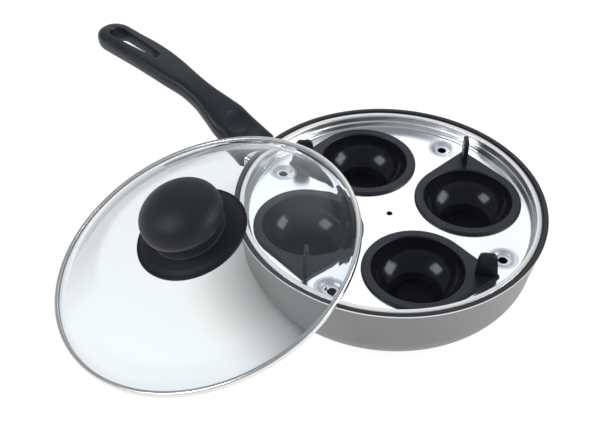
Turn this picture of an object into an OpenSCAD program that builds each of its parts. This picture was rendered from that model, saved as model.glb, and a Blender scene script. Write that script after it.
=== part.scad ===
// Four-cup egg poacher pan, shown as it stands in use: the pan on a flat
// surface, the insert tray and its four cups in the pan, and the domed glass
// lid taken off and leaned against the pan's rim and the root of the handle.
// Millimetres. +Z is up, the origin is the centre of the pan's flat base, and
// the handle runs along -X.

/* [Pan] */
// Outer radius of the pan's rim
pan_r = 100; // [90:1:120]
// Height of the pan's rim above the surface it stands on
pan_h = 50; // [46:1:60]
// Outer radius of the rounded corner between the wall and the base
corner_r = 22; // [16:1:26]
// Thickness of the pan's floor
floor_t = 3.2; // [2.5:0.1:4.5]
// Radius of the wall where it meets the rounded corner
wall_foot_r = 94.7; // [88:0.1:96]
// Depth of the step inside the rim that carries the tray
ledge_d = 1.5; // [1.2:0.1:2]

/* [Tray] */
// Outer radius of the tray's flange
tray_r = 96.2; // [95.8:0.1:96.4]
// Thickness of the tray's sheet
tray_t = 0.9; // [0.7:0.1:1.1]
// Depth of the tray's floor below the pan's rim
tray_depth = 9.65; // [9:0.05:11]
// How far the tray lies off the pan's centre, along -Y
tray_shift = 0.6; // [0:0.1:0.6]
// Turn of the tray in the pan, to the first cup
tray_turn = 53; // [0:1:90]
// Radius of the circle that the four cups stand on
cup_ring_r = 54; // [53:0.5:54]
// Radius of the holes that the cups drop into
cup_hole_r = 31; // [30.9:0.1:31.4]
// Radius of the circle that the vent holes stand on
vent_ring_r = 79.2; // [78:0.1:80]
// Radius of a vent hole
vent_r = 3; // [2:0.1:3.5]
// Turn from a cup to the vent hole beside it
vent_turn = -46; // [-48:1:-42]

/* [Cups] */
// Radius of a cup's mouth
mouth_r = 28.9; // [26:0.1:29.2]
// Radius of the round part of a cup's flange, at its top
flange_r = 34.4; // [33:0.1:34.9]
// How far the flange's edge spreads outwards, down to the tray
flange_spread = 0.5; // [0.3:0.1:1]
// Thickness of a cup's flange
flange_t = 1.8; // [1.4:0.1:2.4]
// Distance from a cup's centre to the tip of its flange
tip_l = 49.6; // [46:0.1:50]
// Depth of a cup, from its mouth to its flat bottom
cup_depth = 23; // [18:0.5:26]
// Thickness of a cup's wall
cup_t = 1.5; // [1.2:0.1:1.6]
// Height of the lifting fin above the flange
fin_h = 16.5; // [10:0.5:16.5]
// Thickness of the lifting fin
fin_t = 3.0; // [1.8:0.1:3.4]
// Turn of each cup's tip from the line through the pan's centre
tip_turns = [72, 76, 72, 69]; // [50:1:80]

/* [Handle] */
// Distance from the pan's axis to the handle's end at the pan
root_x = 111; // [109:1:112]
// Distance from the pan's axis to the handle's tip
tip_x = 255.3; // [251:0.1:262]
// Width of the flame guard
guard_w = 29; // [26:1:30]
// Diameter of the handle screw's shank
screw_d = 4; // [3:0.5:4.5]

/* [Lid] */
// Outer radius of the lid's steel rim
lid_r = 101.3; // [101:0.1:101.6]
// Height of the lid's steel rim
lid_rim_h = 4.2; // [4:0.1:4.2]
// Thickness of the glass
glass_t = 3; // [2.6:0.1:3]
// Tilt of the leaning lid from level
lid_tilt = 18.66; // [18.5:0.02:18.8]
// Direction that the leaning lid's top faces
lid_az = 237.4; // [237:0.1:238]
// Place of the centre of the leaning lid's rim
lid_pos = [-70.9, -100.6, 34.6]; // [-102:0.05:37]

/* [Knob] */
// Largest radius of the knob
knob_r = 26.4; // [22:0.1:27]
// Height of the knob's widest ring above the lid's rim
knob_mid = 40.8; // [39:0.1:42]
// Radius of the flared disc under the knob
disc_r = 35.9; // [32:0.1:37]
// Diameter of the knob screw's shank
knob_screw_d = 5; // [4:0.5:5]

/* [Hidden] */
$fn = 96;

ledge_z = pan_h - ledge_d;
tray_z = pan_h - tray_depth;       // top of the tray's floor
cup_z = tray_z + flange_t;         // top of a cup's flange

// points on an arc about [cx, cy], from angle a0 to a1, in n steps
function arc(cx, cy, r, a0, a1, n) =
    [for (i = [0:n]) let (a = a0 + (a1 - a0) * i / n) [cx + r * cos(a), cy + r * sin(a)]];

// ---------------------------------------------------------------- pan

// The pan is one pressing. Its flat floor and its ring of wall are two nodes,
// which meet face to face where the rounded corner starts.
module pan_floor() {
    color([0.53, 0.53, 0.51])
    cylinder(r = wall_foot_r - corner_r, h = floor_t, $fn = 180);
}

module pan_wall() {
    co = wall_foot_r - corner_r;
    ci = corner_r - 3.4;
    color([0.53, 0.53, 0.51])
    difference() {
        rotate_extrude($fn = 180)
            polygon(concat(
                arc(co, corner_r, corner_r, -90, 0, 12),
                [[pan_r - 0.25, pan_h - 1.7],
                 [pan_r, pan_h - 1.5],
                 [pan_r, pan_h - 0.4],
                 [pan_r - 0.4, pan_h],
                 [pan_r - 2.5, pan_h],
                 [pan_r - 2.9, pan_h - 0.4],
                 [pan_r - 2.9, ledge_z],
                 [pan_r - 5.4, ledge_z],
                 [pan_r - 5.8, ledge_z - 1]],
                arc(co, floor_t + ci, ci, 0, -90, 10)));
        // holes through the wall for the bracket's rivets
        for (s = [-1, 1])
            translate([-85, s * rivet_y, rivet_z]) rotate([0, -90, 0]) cylinder(d = 4.1, h = 20, $fn = 32);
    }
}

// ------------------------------------------------------- bracket and handle

rivet_z = 35.4;
rivet_y = 10.2;
guard_z = 35.4;                     // height of the flame guard's middle
tang_z = 33.6;                      // height of the tang where it leaves the foot
tang_a = 20;                        // rise of the tang inside the handle
screw_s = 26;                       // distance along the tang to the screw
// outer radius of the wall at a height z in its straight part
function wall_r(z) = wall_foot_r + (pan_r - 0.25 - wall_foot_r) * (z - corner_r) / (pan_h - 1.7 - corner_r);

module wall_space() {
    // the space that the pan's wall takes, with a hair of room
    rotate_extrude($fn = 180)
        polygon([[0, corner_r - 12], [wall_foot_r + 0.02, corner_r - 12],
            [wall_foot_r + 0.02, corner_r], [wall_r(46) + 0.02, 46], [0, 46]]);
}

module on_tang() {
    translate([-100, 0, tang_z]) rotate([0, tang_a, 0]) children();
}

module handle_bracket() {
    color([0.72, 0.72, 0.73])
    difference() {
        union() {
            // foot against the wall
            translate([-92, 0, guard_z]) rbar(26.2, 8, 8, 3.2);
            // tang that enters the handle
            on_tang() translate([-31, -7, -1.5]) cube([33, 14, 3]);
        }
        wall_space();
        for (s = [-1, 1])
            translate([-80, s * rivet_y, rivet_z]) rotate([0, -90, 0]) cylinder(d = 4.1, h = 30, $fn = 32);
        // hole for the handle screw
        on_tang() translate([-screw_s, 0, -6]) cylinder(d = screw_d + 0.4, h = 12, $fn = 32);
    }
}

module bracket_rivets() {
    color([0.78, 0.78, 0.79])
    for (s = [-1, 1]) translate([0, s * rivet_y, rivet_z]) rotate([0, -90, 0]) {
        translate([0, 0, 90.4]) cylinder(d = 4, h = 10.6, $fn = 32);
        // heads inside the pan and on the bracket's foot
        rotate_extrude($fn = 48) polygon([[0, 88.9], [2.4, 89.3], [3.4, 90.1], [3.6, 90.6], [0, 90.6]]);
        translate([0, 0, 100.05]) cylinder(d = 6.2, h = 1.2, $fn = 48);
    }
}

// a rounded bar across X, w wide and h high, centred on its axis
module rbar(w, h, l, r) {
    rotate([0, -90, 0]) linear_extrude(l) rrect(h, w, r);
}
module rrect(a, b, r) {
    square([a - 2 * r, b], center = true);
    square([a, b - 2 * r], center = true);
    for (i = [-1, 1], j = [-1, 1])
        translate([i * (a / 2 - r), j * (b / 2 - r)]) circle(r, $fn = 32);
}

module flame_guard() {
    // polished sleeve between the wall and the handle, open inside
    color([0.85, 0.85, 0.86])
    difference() {
        translate([-95, 0, guard_z]) rbar(guard_w, 10.6, root_x - 95.05, 4.4);
        translate([-90, 0, guard_z]) rbar(guard_w - 2, 8.6, 24, 3.4);
        wall_space();
    }
}

// Stations along the handle: distance from the pan's axis, height of the top
// face, thickness, half width
stations = [
    [root_x, 41.4, 12.5, 19.4],
    [119, 47.3, 16.7, 17.6],
    [128, 53.4, 18.9, 15.8],
    [137, 57, 17.6, 16.2],
    [147, 61, 16, 13.9],
    [159, 65.6, 14.4, 11.2],
    [172, 69.8, 13.5, 10.9],
    [186, 73, 13.3, 12.8],
    [200, 75.9, 13.3, 13.9],
    [214, 78, 13.8, 14.1],
    [228, 79.3, 14.5, 13.7],
    [tip_x - 13.3, 81, 15.6, 13.3],
    [tip_x, 81.6, 15.6, 12]];

function cr(a, b, c, d, t) = 0.5 * ((2 * b) + (c - a) * t + (2 * a - 5 * b + 4 * c - d) * t * t + (3 * b - a - 3 * c + d) * t * t * t);
function st(i) = stations[max(0, min(len(stations) - 1, i))];
function at(i, t) = [for (k = [0:3]) cr(st(i - 1)[k], st(i)[k], st(i + 1)[k], st(i + 2)[k], t)];
sub = 2;
body_rings = [for (i = [0:len(stations) - 3], j = [0:sub - 1]) at(i, j / sub)];
// the rounded tip: the section shrinks like a quarter circle
e = st(len(stations) - 2);
l = st(len(stations) - 1);
tip_rings = [for (a = [0:14:84]) let (c = cos(a), s = sin(a))
    [e[0] + (l[0] - e[0]) * s, e[1] - (1 - c) * 3, e[2] - (1 - c) * 6, e[3] * (0.2 + 0.8 * c)]];
rings = concat(body_rings, tip_rings);
nseg = 28;
function sgnpow(v, p) = sign(v) * pow(abs(v), p);
// one ring of points: a squarish oval, narrower below, in the YZ plane
function ring_pts(q) = [for (k = [0:nseg - 1]) let (a = 360 * k / nseg,
    u = sgnpow(cos(a), 0.62), v = sgnpow(sin(a), 0.62))
    [-q[0], q[3] * u * (0.93 + 0.07 * v - (v < 0 ? 0.10 * v * v : 0)), q[1] - q[2] / 2 + q[2] / 2 * v]];

module handle_solid() {
    n = len(rings);
    pts = [for (q = rings) each ring_pts(q)];
    sides = [for (i = [0:n - 2], k = [0:nseg - 1]) let (k2 = (k + 1) % nseg)
        each [[i * nseg + k, i * nseg + k2, (i + 1) * nseg + k2], [i * nseg + k, (i + 1) * nseg + k2, (i + 1) * nseg + k]]];
    polyhedron(points = pts, convexity = 6,
        faces = concat(sides,
            [[for (k = [nseg - 1:-1:0]) k]],
            [[for (k = [0:nseg - 1]) (n - 1) * nseg + k]]));
}

// the hanging slot, seen from above: wide near the tip, narrow to the pan
module slot_2d(g = 0) {
    polygon([[-204, -2.9 - g], [-204, 2.9 + g], [-240, 5.6 + g], [-240, -5.6 - g]]);
    translate([-204, 0]) circle(2.9 + g, $fn = 32);
    translate([-240, 0]) circle(5.6 + g, $fn = 32);
}
module slot() {
    intersection() {
        translate([0, 0, 40]) linear_extrude(60) slot_2d();
        // the narrow end is a ramp down to the through part
        translate([-200.5, 0, 76.5]) rotate([0, -38, 0]) translate([-80, -20, 0]) cube([90, 40, 60]);
    }
    // eased edge above, wider relief below
    intersection() {
        translate([0, 0, 60]) hull() {
            linear_extrude(11) slot_2d(1.6);
            linear_extrude(5) slot_2d(4.2);
        }
        translate([-260, -20, 50]) cube([42, 40, 22]);
    }
}
// shallow hollow for the thumb
module thumb() {
    translate([-130.6, 0, 52.9]) rotate([0, 29, 0]) translate([0, 0, 32]) sphere(r = 33, $fn = 180);
}

module handle() {
    color([0.09, 0.09, 0.1])
    difference() {
        handle_solid();
        slot();
        thumb();
        // pocket for the tang
        on_tang() translate([-31.4, -7.3, -1.8]) cube([36, 14.6, 3.6]);
        // screw hole from below, with a sunk seat for its head, and the insert's seat
        on_tang() translate([-screw_s, 0, 0]) {
            translate([0, 0, -14]) cylinder(d = screw_d + 0.5, h = 15, $fn = 32);
            translate([0, 0, -16]) cylinder(d = 9, h = 11.5, $fn = 48);
            cylinder(d = 6.6, h = 4.9, $fn = 32);
        }
    }
}

module handle_insert() {
    color([0.8, 0.66, 0.3])
    on_tang() translate([-screw_s, 0, 1.8])
        difference() {
            cylinder(d = 6.4, h = 3, $fn = 32);
            translate([0, 0, -1]) cylinder(d = screw_d + 0.1, h = 6, $fn = 32);
        }
}

module handle_screw() {
    color([0.7, 0.7, 0.72])
    on_tang() translate([-screw_s, 0, 0])
        difference() {
            union() {
                translate([0, 0, -6.5]) cylinder(d = screw_d, h = 11.1, $fn = 32);
                translate([0, 0, -7.8]) cylinder(d = 7.4, h = 2.2, $fn = 48);
            }
            // cross recess
            for (a = [0, 90]) rotate(a) translate([-2.2, -0.5, -8.3]) cube([4.4, 1, 1.7]);
        }
}

module handle_washer() {
    color([0.75, 0.75, 0.76])
    on_tang() translate([-screw_s, 0, -5.55])
        difference() {
            cylinder(d = 8.6, h = 1, $fn = 48);
            translate([0, 0, -1]) cylinder(d = screw_d + 0.3, h = 3, $fn = 32);
        }
}

// --------------------------------------------------------------- tray

function cup_at(i) = let (a = tray_turn + 90 * i) [cup_ring_r * cos(a), cup_ring_r * sin(a) - tray_shift];
function vent_at(i) = let (a = tray_turn + vent_turn + 90 * i) [vent_ring_r * cos(a), vent_ring_r * sin(a)];

// The tray is one pressing. Its floor, with the holes, and its stepped wall
// and flange are two nodes, which meet face to face.
tray_in = 90;

module tray_floor() {
    t = tray_t;
    color([0.86, 0.87, 0.9])
    translate([0, -tray_shift, 0]) {
        difference() {
            translate([0, 0, tray_z - t]) cylinder(r = tray_in, h = t, $fn = 180);
            for (i = [0:3]) {
                translate([cup_at(i)[0], cup_at(i)[1] + tray_shift, tray_z - 5]) cylinder(r = cup_hole_r, h = 10);
                translate([vent_at(i)[0], vent_at(i)[1], tray_z - 5]) cylinder(r = 7.2, h = 10, $fn = 64);
            }
            translate([0, 0, tray_z - 5]) cylinder(r = 1.9, h = 10, $fn = 32);
        }
        // pressed dimples with the vent holes in them
        for (i = [0:3]) translate([vent_at(i)[0], vent_at(i)[1], tray_z])
            rotate_extrude($fn = 64)
                polygon([[vent_r, -2.6], [4.4, -2.6], [7.3, -0.9], [7.3, 0], [7.1, 0],
                    [4.2, -1.7], [vent_r, -1.7]]);
    }
}

module tray_wall() {
    t = tray_t;
    fz = ledge_z;                   // underside of the flange, on the ledge
    color([0.86, 0.87, 0.9])
    translate([0, -tray_shift, 0])
        rotate_extrude($fn = 180)
            polygon([[tray_in, tray_z - t], [90.2, tray_z - t], [91.4, tray_z - t + 0.6], [91.9, tray_z + 0.6],
                [92.2, tray_z + 3.4], [92.8, tray_z + 4], [93.1, fz - 0.9], [93.7, fz],
                [tray_r, fz], [tray_r, fz + t], [93.4, fz + t], [92.6, fz + t - 0.5],
                [92.1, fz - 0.6], [91.9, tray_z + 4.5], [91.3, tray_z + 3.8],
                [90.9, tray_z + 0.9], [tray_in, tray_z]]);
}

// --------------------------------------------------------------- cups

// round flange drawn out to a tip along +X
module teardrop(r, l, tr) {
    b = acos((r - tr) / (l - tr));
    circle(r, $fn = 120);
    translate([l - tr, 0]) circle(tr, $fn = 32);
    polygon([[0, 0], [r * cos(b), r * sin(b)],
        [l - tr + tr * cos(b), tr * sin(b)], [l - tr + tr * cos(b), -tr * sin(b)],
        [r * cos(b), -r * sin(b)]]);
}

module poaching_cup(i) {
    d = cup_depth;
    m = mouth_r;
    t = cup_t;
    color([0.1, 0.1, 0.11])
    translate([cup_at(i)[0], cup_at(i)[1], cup_z])
    rotate(tray_turn + 90 * i + tip_turns[i]) {
        // flange
        difference() {
            union() {
                translate([0, 0, -flange_t]) linear_extrude(flange_t - 0.6) teardrop(flange_r + flange_spread, tip_l, 2);
                translate([0, 0, -0.6]) linear_extrude(0.6) teardrop(flange_r, tip_l - 0.6, 1.2);
            }
            translate([0, 0, -flange_t - 1]) cylinder(r = m + 0.6, h = flange_t + 2, $fn = 120);
        }
        // bowl
        rotate_extrude($fn = 120)
            polygon([[m + 0.7, 0], [m + 0.2, -0.2], [m, -0.8], [m - 0.3, -3.5], [m - 1.3, -7],
                [m - 2.9, -10.5], [m - 5.4, -14], [m - 8.8, -17.4], [m - 12.4, -d + 3.4], [m - 15.8, -d + 1.9],
                [12.6, -d + 1.2], [12, -d + 0.9], [11.7, -d + 0.1], [11.4, -d], [0, -d],
                [0, -d - t], [12.4, -d - t], [13.2, -d - t + 0.8], [m - 15, -d - t + 1.6],
                [m - 11.6, -d - t + 3.1], [m - 7.7, -18.4], [m - 4.1, -14.8],
                [m - 1.5, -11], [m + 0.3, -7.2], [m + 1.3, -3.6], [m + 1.5, -flange_t]]);
        // lifting fin
        translate([0, fin_t / 2, -0.3]) rotate([90, 0, 0]) linear_extrude(fin_t)
            polygon([[34.6, 0], [tip_l - 1.4, 0], [tip_l - 1.7, 3], [tip_l - 3.8, fin_h - 1.2], [tip_l - 5.2, fin_h + 0.3],
                [37.6, fin_h + 0.1], [35.9, fin_h - 1.4], [35, fin_h - 4], [34.5, 4]]);
    }
}
module cup_right() { poaching_cup(0); }
module cup_back() { poaching_cup(1); }
module cup_left() { poaching_cup(2); }
module cup_front() { poaching_cup(3); }

// ---------------------------------------------------------------- lid

module on_lid() {
    translate(lid_pos) rotate([0, lid_tilt, lid_az]) children();
}

module lid_rim() {
    h = lid_rim_h / 2;
    R = lid_r;
    color([0.8, 0.8, 0.8])
    on_lid() rotate_extrude($fn = 180)
        polygon([[R - 2.9, h - 0.6], [R - 2.6, h], [R - 1.2, h], [R - 0.4, h - 0.4], [R, h - 1.3],
            [R, -h + 1.3], [R - 0.4, -h + 0.4], [R - 1.2, -h], [R - 3.2, -h], [R - 3.5, -h + 0.6],
            [R - 1.4, -h + 0.6], [R - 0.9, -h + 0.9], [R - 0.7, -h + 1.4],
            [R - 0.7, h - 1.4], [R - 0.9, h - 0.9], [R - 1.4, h - 0.6]]);
}

// outer face of the glass: radius, height
glass_out = [[lid_r - 1.1, 0.7], [lid_r - 1.7, 1.3], [97, 1.3], [95.2, 2], [92.4, 4.6], [89.4, 7.1], [85.2, 9.6], [79.5, 11.9],
    [72, 14.2], [63, 16.4], [52, 18.6], [40, 20.4], [28, 21.7], [14, 22.5], [0, 22.8]];

module lid_glass() {
    g = glass_t;
    color([0.8, 0.9, 0.87, 0.35])
    on_lid() difference() {
        rotate_extrude($fn = 180)
            polygon(concat(glass_out, [[0, 22.8 - g], [14, 22.5 - g], [28, 21.6 - g], [40, 20.2 - g],
                [51.2, 18.4 - g], [61.8, 16.1 - g], [70.6, 13.7 - g], [77.8, 11.3 - g], [83.2, 8.9 - g],
                [87.4, 6.3 - g], [90.6, 3.6 - g], [93.2, 2.1 - g], [95.8, 1.7 - g], [lid_r - 1.7, 1.7 - g], [lid_r - 1.1, 2.3 - g]]));
        translate([0, 0, 10]) cylinder(d = 8, h = 20, $fn = 48);
    }
}

module ring(r1, r2, z1, z2) {
    translate([0, 0, z1]) difference() {
        cylinder(r = r2, h = z2 - z1, $fn = 72);
        translate([0, 0, -1]) cylinder(r = r1, h = z2 - z1 + 2, $fn = 48);
    }
}

module glass_seal_top() {
    color([0.2, 0.2, 0.2]) on_lid() ring(4.2, 13, 22.85, 24.2);
}
module glass_seal_under() {
    color([0.2, 0.2, 0.2]) on_lid() ring(3, 11, 22.5 - glass_t - 1.3, 22.4 - glass_t);
}

module knob_base() {
    // flared disc with a small raised lip at its edge, hollow beneath
    color([0.08, 0.08, 0.09])
    on_lid() rotate_extrude($fn = 120)
        polygon([[3, 24.25], [14, 24.25], [14, 22.9], [disc_r - 1, 21.6], [disc_r - 0.3, 21.9], [disc_r, 22.6],
            [disc_r - 0.2, 23.3], [disc_r - 0.9, 23.6], [disc_r - 1.7, 23.5], [disc_r - 4, 24],
            [30, 24.6], [26.5, 25.2], [24, 25.6], [22, 25.7], [3, 25.7]]);
}

module knob() {
    r = knob_r;
    m = knob_mid;
    color([0.1, 0.1, 0.105])
    on_lid() difference() {
        rotate_extrude($fn = 120)
            polygon(concat([[0, 25.8], [22.4, 25.8], [23.1, 26.3], [23.3, 27], [22.9, 27.7], [21.6, 28.2],
                [20.2, 29], [19.6, 30.4], [20.2, 31.8], [22, 33.4], [24, 35.2]],
                [for (a = [-18:9:81]) [(r - 6) * cos(a) + 6 * cos(a), m + (a < 0 ? 15.3 : 15.3) * sin(a)]],
                [[0, m + 15.3]]));
        translate([0, 0, 25]) cylinder(d = knob_screw_d + 0.4, h = 6, $fn = 32);
        translate([0, 0, 29]) cylinder(d = 8.1, h = 13.1, $fn = 48);
    }
}

module knob_insert() {
    color([0.8, 0.66, 0.3]) on_lid() ring(knob_screw_d / 2 + 0.05, 4, 30, 42);
}
module knob_washer() {
    color([0.78, 0.78, 0.79]) on_lid() ring(2.7, 8, 22.5 - glass_t - 2.4, 22.5 - glass_t - 1.35);
}
module knob_screw() {
    z = 22.5 - glass_t - 2.45;
    color([0.75, 0.75, 0.76])
    on_lid() difference() {
        union() {
            translate([0, 0, z]) cylinder(d = knob_screw_d, h = 39.5 - z, $fn = 32);
            rotate_extrude($fn = 48) polygon([[0, z - 2.6], [2.8, z - 2.4], [4.3, z - 1.3], [4.7, z], [0, z]]);
        }
        for (a = [0, 90]) rotate(a) translate([-2.4, -0.55, z - 3]) cube([4.8, 1.1, 1.9]);
    }
}

pan_floor();
pan_wall();
handle_bracket();
bracket_rivets();
flame_guard();
handle();
handle_insert();
handle_screw();
handle_washer();
tray_floor();
tray_wall();
cup_right();
cup_back();
cup_left();
cup_front();
lid_rim();
lid_glass();
glass_seal_top();
glass_seal_under();
knob_base();
knob();
knob_insert();
knob_washer();
knob_screw();
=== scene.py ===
import math

import bmesh
import bpy
from mathutils import Matrix, Vector


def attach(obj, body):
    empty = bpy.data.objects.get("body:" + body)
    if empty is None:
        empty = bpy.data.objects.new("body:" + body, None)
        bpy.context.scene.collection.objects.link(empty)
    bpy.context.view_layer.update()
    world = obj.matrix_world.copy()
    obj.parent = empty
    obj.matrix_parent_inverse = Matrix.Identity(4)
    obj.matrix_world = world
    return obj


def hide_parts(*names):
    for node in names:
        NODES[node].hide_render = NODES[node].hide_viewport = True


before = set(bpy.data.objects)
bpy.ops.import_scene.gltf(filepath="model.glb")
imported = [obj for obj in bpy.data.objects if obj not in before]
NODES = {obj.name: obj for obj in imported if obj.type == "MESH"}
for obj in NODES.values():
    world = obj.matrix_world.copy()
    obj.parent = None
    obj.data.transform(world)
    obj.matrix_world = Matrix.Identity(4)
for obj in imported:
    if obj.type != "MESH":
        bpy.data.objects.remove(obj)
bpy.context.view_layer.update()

MM = 0.001
rad = math.radians


# ------------------------------------------------------------------ camera

def add_camera():
    cam = bpy.data.cameras.new("camera")
    ob = bpy.data.objects.new("camera", cam)
    bpy.context.scene.collection.objects.link(ob)
    fwd = Vector((-0.4455, 0.5911, -0.6724)).normalized()
    right = Vector((0.79864, 0.60182, 0.0)).normalized()
    back = -fwd
    up = back.cross(right).normalized()
    rho = rad(1.23)
    r2 = right * math.cos(rho) + up * math.sin(rho)
    u2 = up * math.cos(rho) - right * math.sin(rho)
    m = Matrix((r2, u2, back)).transposed().to_4x4()
    m.translation = Vector((0.27177, -0.45696, 0.51117))
    ob.matrix_world = m
    cam.sensor_fit = "HORIZONTAL"
    cam.sensor_width = 36.0
    cam.lens = 65.73
    cam.clip_start = 0.01
    cam.clip_end = 50.0
    bpy.context.scene.camera = ob
    return ob


add_camera()
# picture axes on the floor: across to the right, and away from the camera
AX = Vector((0.79864, 0.60182, 0.0))
AY = Vector((-0.60182, 0.79864, 0.0))
AZ = Vector((0.0, 0.0, 1.0))


# the leaning lid's own frame, and the pan's and tray's axes
LID = Matrix.Translation((-0.0709, -0.1006, 0.0346)) @ Matrix.Rotation(rad(237.4), 4, "Z") @ Matrix.Rotation(rad(18.66), 4, "Y")
TRAY_AXIS = Matrix.Translation((0.0, -0.0006, 0.0))


# --------------------------------------------------------------- materials

def new_mat(name):
    m = bpy.data.materials.new(name)
    m.use_nodes = True
    nt = m.node_tree
    bsdf = next(n for n in nt.nodes if n.type == "BSDF_PRINCIPLED")
    return m, nt, bsdf


def node(nt, kind, **props):
    n = nt.nodes.new(kind)
    for k, v in props.items():
        setattr(n, k, v)
    return n


def obj_coords(nt, frame_of=None):
    """The piece's coordinates, in the frame of a tilted or shifted axis if one is given."""
    co = node(nt, "ShaderNodeTexCoord").outputs["Object"]
    if frame_of is None:
        return co
    n = node(nt, "ShaderNodeMapping", vector_type="TEXTURE")
    n.inputs["Location"].default_value = frame_of.translation
    n.inputs["Rotation"].default_value = frame_of.to_euler("XYZ")
    nt.links.new(co, n.inputs["Vector"])
    return n.outputs["Vector"]


def noise(nt, co, scale, detail=4.0, rough=0.55, distortion=0.0):
    n = node(nt, "ShaderNodeTexNoise")
    n.inputs["Scale"].default_value = scale
    n.inputs["Detail"].default_value = detail
    n.inputs["Roughness"].default_value = rough
    n.inputs["Distortion"].default_value = distortion
    nt.links.new(co, n.inputs["Vector"])
    return n.outputs["Fac"]


def ramp(nt, fac, stops):
    n = node(nt, "ShaderNodeValToRGB")
    e = n.color_ramp.elements
    while len(e) < len(stops):
        e.new(0.5)
    for i, (p, c) in enumerate(stops):
        e[i].position = p
        e[i].color = (c[0], c[1], c[2], 1.0) if hasattr(c, "__len__") else (c, c, c, 1.0)
    nt.links.new(fac, n.inputs["Fac"])
    return n.outputs["Color"]


def map_range(nt, fac, a, b, c, d):
    n = node(nt, "ShaderNodeMapRange")
    n.inputs["From Min"].default_value = a
    n.inputs["From Max"].default_value = b
    n.inputs["To Min"].default_value = c
    n.inputs["To Max"].default_value = d
    nt.links.new(fac, n.inputs["Value"])
    return n.outputs["Result"]


def math_node(nt, op, a, b=None):
    n = node(nt, "ShaderNodeMath", operation=op)
    for i, v in enumerate((a, b)):
        if v is None:
            continue
        if isinstance(v, (int, float)):
            n.inputs[i].default_value = v
        else:
            nt.links.new(v, n.inputs[i])
    return n.outputs[0]


def bump(nt, bsdf, height, strength, dist):
    n = node(nt, "ShaderNodeBump")
    n.inputs["Strength"].default_value = strength
    n.inputs["Distance"].default_value = dist
    nt.links.new(height, n.inputs["Height"])
    nt.links.new(n.outputs["Normal"], bsdf.inputs["Normal"])
    return n


def spun_coords(nt, co, across, along):
    """Coordinates that stretch a noise round the object's own Z axis: (radius, angle, height)."""
    sep = node(nt, "ShaderNodeSeparateXYZ")
    nt.links.new(co, sep.inputs[0])
    x, y, z = sep.outputs
    r = math_node(nt, "SQRT", math_node(nt, "ADD", math_node(nt, "MULTIPLY", x, x), math_node(nt, "MULTIPLY", y, y)))
    a = math_node(nt, "ARCTAN2", y, x)
    comb = node(nt, "ShaderNodeCombineXYZ")
    nt.links.new(math_node(nt, "MULTIPLY", r, across), comb.inputs[0])
    nt.links.new(math_node(nt, "MULTIPLY", a, along), comb.inputs[1])
    nt.links.new(math_node(nt, "MULTIPLY", z, across), comb.inputs[2])
    return comb.outputs[0]


def mat_paint(name, lo, hi, rough=0.42):
    """Satin metallic paint: fine flake in colour and bump, and slow mottling."""
    m, nt, b = new_mat(name)
    co = obj_coords(nt)
    flake = noise(nt, co, 2600.0, 2.0, 0.6)
    slow = noise(nt, co, 38.0, 3.0, 0.5)
    mix = math_node(nt, "ADD", math_node(nt, "MULTIPLY", flake, 0.6), math_node(nt, "MULTIPLY", slow, 0.4))
    nt.links.new(ramp(nt, mix, [(0.34, lo), (0.66, hi)]), b.inputs["Base Color"])
    nt.links.new(map_range(nt, slow, 0.3, 0.7, rough - 0.03, rough + 0.05), b.inputs["Roughness"])
    b.inputs["Metallic"].default_value = 0.2
    bump(nt, b, flake, 0.12, 0.0001)
    return m


def mat_metal(name, lo, hi, rough, spread=0.05, lines=0.12, across=2200.0, along=3.0, aniso=0.0, frame_of=None):
    """Spun or rolled metal: fine rings round the piece's own axis."""
    m, nt, b = new_mat(name)
    co = obj_coords(nt, frame_of)
    ring = noise(nt, spun_coords(nt, co, across, along), 1.0, 4.0, 0.6)
    slow = noise(nt, co, 30.0, 3.0, 0.5)
    mix = math_node(nt, "ADD", math_node(nt, "MULTIPLY", ring, 0.5), math_node(nt, "MULTIPLY", slow, 0.5))
    nt.links.new(ramp(nt, mix, [(0.3, lo), (0.7, hi)]), b.inputs["Base Color"])
    nt.links.new(map_range(nt, mix, 0.3, 0.7, rough - spread, rough + spread), b.inputs["Roughness"])
    b.inputs["Metallic"].default_value = 1.0
    b.inputs["Anisotropic"].default_value = aniso
    bump(nt, b, ring, lines, 0.00003)
    return m


def mat_plastic(name, lo, hi, rough, grain=2200.0, strength=0.15, spec=0.5, ior=1.5):
    """Moulded or coated black surface with a fine grain."""
    m, nt, b = new_mat(name)
    co = obj_coords(nt)
    fine = noise(nt, co, grain, 3.0, 0.6)
    slow = noise(nt, co, 45.0, 4.0, 0.55)
    mix = math_node(nt, "ADD", math_node(nt, "MULTIPLY", fine, 0.4), math_node(nt, "MULTIPLY", slow, 0.6))
    nt.links.new(ramp(nt, mix, [(0.32, lo), (0.68, hi)]), b.inputs["Base Color"])
    nt.links.new(map_range(nt, slow, 0.3, 0.7, rough - 0.04, rough + 0.04), b.inputs["Roughness"])
    b.inputs["Specular IOR Level"].default_value = spec
    b.inputs["IOR"].default_value = ior
    b.inputs["Specular Tint"].default_value = (0.90, 0.95, 1.06, 1.0)
    bump(nt, b, fine, strength, 0.00008)
    return m


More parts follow.
